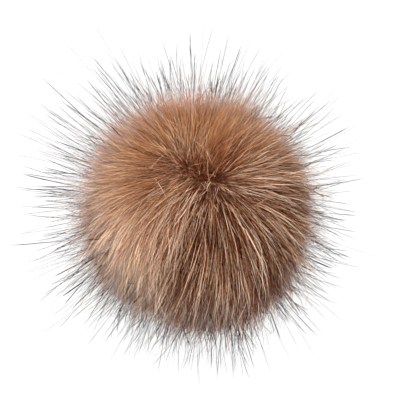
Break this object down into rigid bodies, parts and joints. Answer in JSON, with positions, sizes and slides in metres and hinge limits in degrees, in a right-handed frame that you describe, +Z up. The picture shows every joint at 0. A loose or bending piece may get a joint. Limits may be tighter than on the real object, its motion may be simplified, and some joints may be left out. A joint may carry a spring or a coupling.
{
  "type": "pom pom",
  "caption": "Round faux fur pom pom: a dense ball of long pile, parted at a crown, with longer dark-tipped guard hairs standing out all round and a flattened spot underneath.",
  "frame": {"origin": "middle of the flat spot that the ball rests on", "axes": "+Z up through the ball, towards the crown where the pile parts; -Y towards the viewer, where the pile is combed longest and flattest"},
  "size_m": [0.1357, 0.1281, 0.0858],
  "materials": {
    "fur": "long-pile faux fur: matt golden tan to dark brown underfur with pale beige streaks, and thin soft guard hairs with near-black tips"
  },
  "bodies": {
    "root": {"fur_ball": "fur"}
  },
  "joints": []
}
